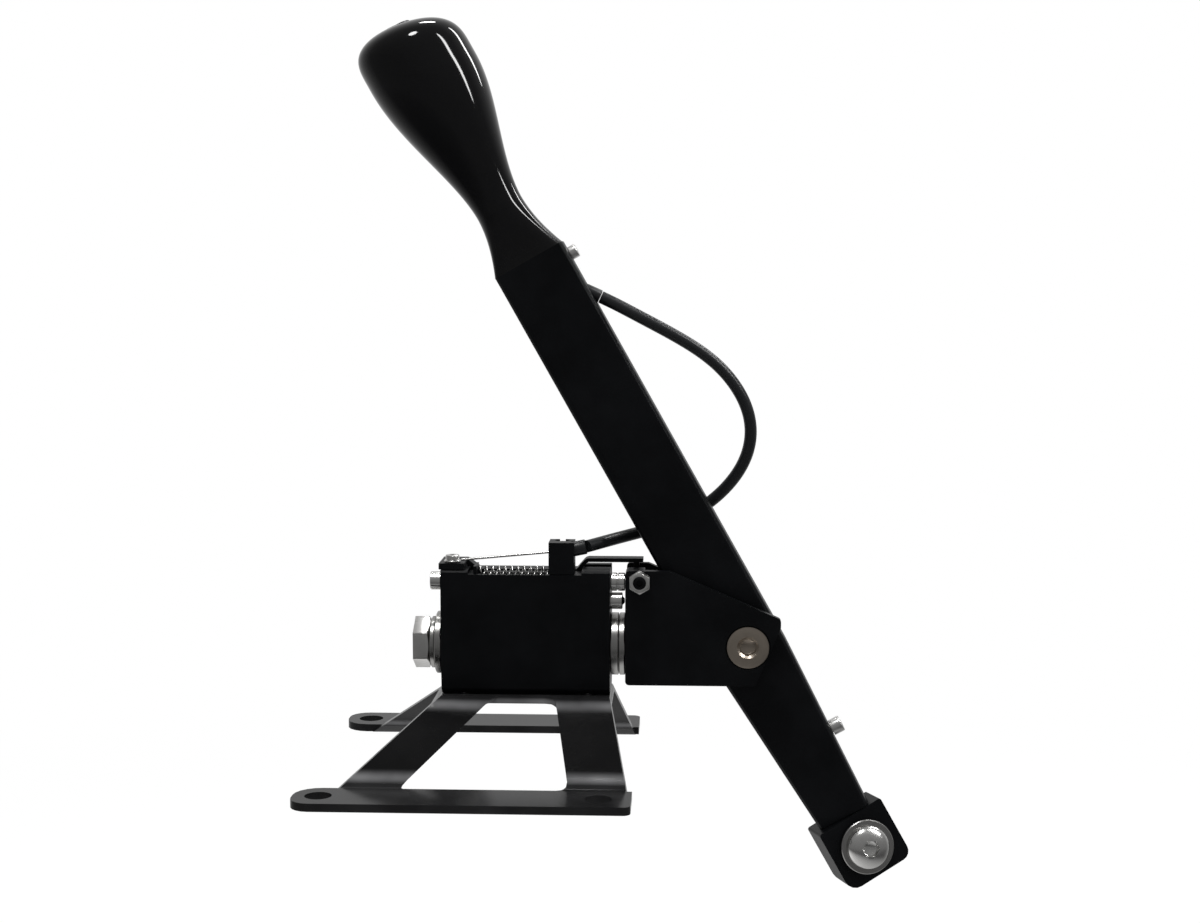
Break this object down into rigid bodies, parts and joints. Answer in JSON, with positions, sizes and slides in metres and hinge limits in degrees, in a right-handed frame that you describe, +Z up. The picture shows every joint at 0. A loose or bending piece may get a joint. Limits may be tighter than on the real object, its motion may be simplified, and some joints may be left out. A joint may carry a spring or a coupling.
{
  "type": "short shifter",
  "caption": "Gear shift mechanism with a tall grip on a swinging lever, a rolling yoke, a bearing block on a bent base, a cable-worked reverse latch and a clevis below.",
  "frame": {"origin": "centre of the four foot holes, in the plane of the foot undersides", "axes": "+X towards the car's front along the shaft, +Y to the car's left along the pivot bolt, +Z up"},
  "size_m": [0.2409, 0.147, 0.3511],
  "materials": {
    "base_powder_coat": "satin",
    "black_satin": "satin black",
    "knob_gloss_black": "gloss",
    "stainless_steel": "bright",
    "brushed_stainless": "brushed",
    "bush_bronze": "bearing bronze",
    "cable_black": "smooth"
  },
  "bodies": {
    "base": {"base_bracket": "base_powder_coat", "bearing_housing": "black_satin", "base_screw_1": "stainless_steel", "base_screw_2": "stainless_steel", "base_screw_3": "stainless_steel", "base_screw_4": "stainless_steel", "shaft_bush_rear": "bush_bronze", "shaft_bush_front": "bush_bronze", "rear_plug": "stainless_steel", "stop_pin": "stainless_steel", "detent_plunger": "stainless_steel", "cable_clamp": "black_satin", "clamp_screw": "stainless_steel", "cable_ferrule": "cable_black", "cable_outer": "cable_black", "latch_spring": "stainless_steel"},
    "yoke": {"yoke": "black_satin", "shift_shaft": "stainless_steel", "flat_washer": "stainless_steel", "lock_washer": "stainless_steel", "thrust_washer_1": "stainless_steel", "thrust_washer_2": "stainless_steel", "jam_nut": "stainless_steel", "ear_screw": "stainless_steel", "ear_nut": "stainless_steel", "pivot_bolt": "brushed_stainless", "pivot_washer": "stainless_steel", "pivot_nut": "stainless_steel"},
    "lever": {"lever": "black_satin", "pivot_bush_near": "bush_bronze", "pivot_bush_far": "bush_bronze", "knob": "knob_gloss_black", "knob_screw": "stainless_steel", "lever_ferrule": "cable_black", "rocker_pin": "stainless_steel", "button_spring": "stainless_steel", "clevis": "black_satin", "clevis_screw": "stainless_steel", "clevis_bolt": "stainless_steel", "clevis_washer_near": "stainless_steel", "clevis_washer_far": "stainless_steel", "clevis_nut": "stainless_steel"},
    "button": {"push_button": "stainless_steel"},
    "rocker": {"rocker": "black_satin"},
    "latch": {"latch_slider": "black_satin", "anchor_screw": "stainless_steel", "anchor_washer": "stainless_steel", "inner_wire": "stainless_steel"}
  },
  "joints": [
    {"name": "gate_roll", "type": "hinge", "parent": "base", "child": "yoke", "pos_m": [0, 0, 0.0507], "axis": [1, 0, 0], "range_deg": [-6, 6], "deforming": ["cable_outer"]},
    {"name": "shift_pivot", "type": "hinge", "parent": "yoke", "child": "lever", "pos_m": [0.1113, 0, 0.0517], "axis": [0, 1, 0], "range_deg": [-1.5, 16], "deforming": ["cable_outer"]},
    {"name": "latch_slide", "type": "slide", "parent": "base", "child": "latch", "axis": [1, 0, 0], "range_m": [0, 0.0025], "stiffness_N_per_m": 500, "springref_m": -0.01, "deforming": ["latch_spring"]},
    {"name": "button_push", "type": "slide", "parent": "lever", "child": "button", "axis": [0.4909, 0, -0.8712], "range_m": [0, 0.0025], "deforming": ["button_spring"]},
    {"name": "rocker_turn", "type": "hinge", "parent": "lever", "child": "rocker", "pos_m": [0.03791, 0, 0.1901], "axis": [0, -1, 0], "range_deg": [0, 27.6]}
  ],
  "couplings": [
    {"joint": "button_push", "follows": "latch_slide", "ratio": 1},
    {"joint": "rocker_turn", "follows": "latch_slide", "rad_per_m": 192.3}
  ]
}
